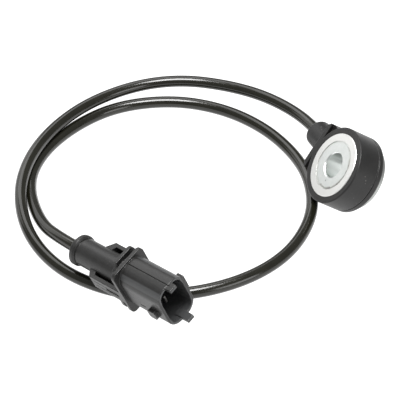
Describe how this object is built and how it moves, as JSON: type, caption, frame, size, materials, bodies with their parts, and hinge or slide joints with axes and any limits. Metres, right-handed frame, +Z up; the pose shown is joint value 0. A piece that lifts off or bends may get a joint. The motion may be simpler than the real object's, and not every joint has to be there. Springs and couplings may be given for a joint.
{
  "type": "engine knock sensor",
  "caption": "Ring-shaped engine knock sensor with a steel screw bore, a moulded cable exit, a loop of round cable and a keyed connector with a clip collar.",
  "frame": {"origin": "on the surface that the sensor lies on, below the middle of the sensing head's box", "axes": "+Z up; +X the way the connector's mouth points, seen from above, which is also the longest side of the head's box; +Y makes the frame right-handed"},
  "size_m": [0.1126, 0.113, 0.0269],
  "materials": {
    "moulding": "fine moulded grain, satin",
    "connector_plastic": "satin moulded",
    "sheath": "smooth and glossy",
    "steel": "turned, zinc plated",
    "spring_steel": "blued",
    "contact_metal": "stamped, bright",
    "pin_metal": "tin plated",
    "core_copper": "bare strand",
    "ceramic": "fired ceramic, matt",
    "film": "amber film"
  },
  "bodies": {
    "root": {"head_housing": "moulding", "mounting_sleeve": "steel", "insulating_liner": "film", "lower_insulator": "film", "piezo_ring": "ceramic", "upper_insulator": "film", "seismic_mass": "steel", "lower_contact": "contact_metal", "upper_contact": "contact_metal", "disc_spring": "spring_steel", "ring_nut": "steel", "connector_housing": "connector_plastic", "pin_carrier": "connector_plastic", "ground_pin": "pin_metal", "signal_pin": "pin_metal", "ground_core_at_head": "core_copper", "signal_core_at_head": "core_copper", "ground_core_at_connector": "core_copper", "signal_core_at_connector": "core_copper", "cable_jacket": "sheath"}
  },
  "joints": []
}
